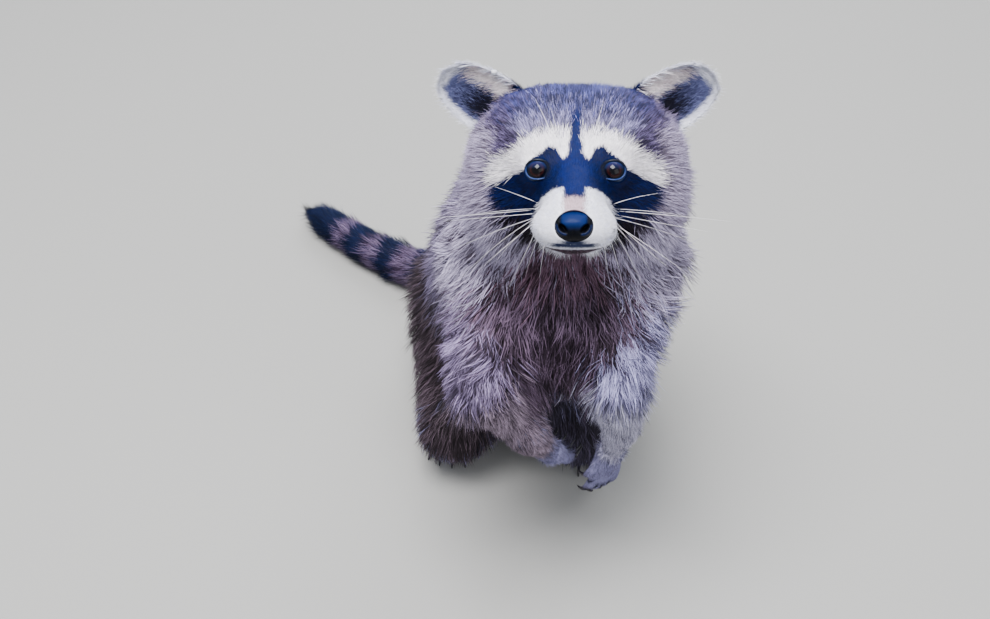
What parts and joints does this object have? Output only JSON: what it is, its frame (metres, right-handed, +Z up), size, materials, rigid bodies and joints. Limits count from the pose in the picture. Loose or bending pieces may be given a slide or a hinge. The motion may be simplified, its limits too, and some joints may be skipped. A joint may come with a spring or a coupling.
{
  "type": "raccoon model",
  "caption": "Still life-size raccoon sitting up on its haunches, forepaws hanging in front, face turned up and ringed tail laid behind to its right.",
  "frame": {"origin": "on the floor, under the middle of the animal's bounding box", "axes": "+Z up, -Y the way the animal faces, +X towards the animal's left side"},
  "size_m": [0.3588, 0.431, 0.4149],
  "materials": {
    "coat": "short dense grizzled coat, matt",
    "dark_coat": "near-black coat, matt",
    "pale_coat": "off-white coat, matt",
    "paw_skin": "bare dark skin of the paws, slightly rough",
    "claw_horn": "dark horn, half gloss",
    "nose_leather": "moist black leather",
    "eye_glass": "glossy dark brown eye"
  },
  "bodies": {
    "root": {"upper_arm_left": "coat", "forearm_left": "coat", "thigh_left": "coat", "forepaw_left": "paw_skin", "claw_forepaw_left_1": "claw_horn", "claw_forepaw_left_2": "claw_horn", "claw_forepaw_left_3": "claw_horn", "claw_forepaw_left_4": "claw_horn", "claw_forepaw_left_5": "claw_horn", "hindpaw_left": "paw_skin", "claw_hindpaw_left_1": "claw_horn", "claw_hindpaw_left_2": "claw_horn", "claw_hindpaw_left_3": "claw_horn", "claw_hindpaw_left_4": "claw_horn", "claw_hindpaw_left_5": "claw_horn", "upper_arm_right": "coat", "forearm_right": "coat", "thigh_right": "coat", "forepaw_right": "paw_skin", "claw_forepaw_right_1": "claw_horn", "claw_forepaw_right_2": "claw_horn", "claw_forepaw_right_3": "claw_horn", "claw_forepaw_right_4": "claw_horn", "claw_forepaw_right_5": "claw_horn", "hindpaw_right": "paw_skin", "claw_hindpaw_right_1": "claw_horn", "claw_hindpaw_right_2": "claw_horn", "claw_hindpaw_right_3": "claw_horn", "claw_hindpaw_right_4": "claw_horn", "claw_hindpaw_right_5": "claw_horn", "chest": "coat", "abdomen": "coat", "neck": "coat", "tail_base": "coat", "tail_middle": "dark_coat", "tail_tip": "dark_coat", "head": "coat", "muzzle": "pale_coat", "lower_jaw": "pale_coat", "nose": "nose_leather", "eye_left": "eye_glass", "ear_left": "coat", "eye_right": "eye_glass", "ear_right": "coat"}
  },
  "joints": []
}
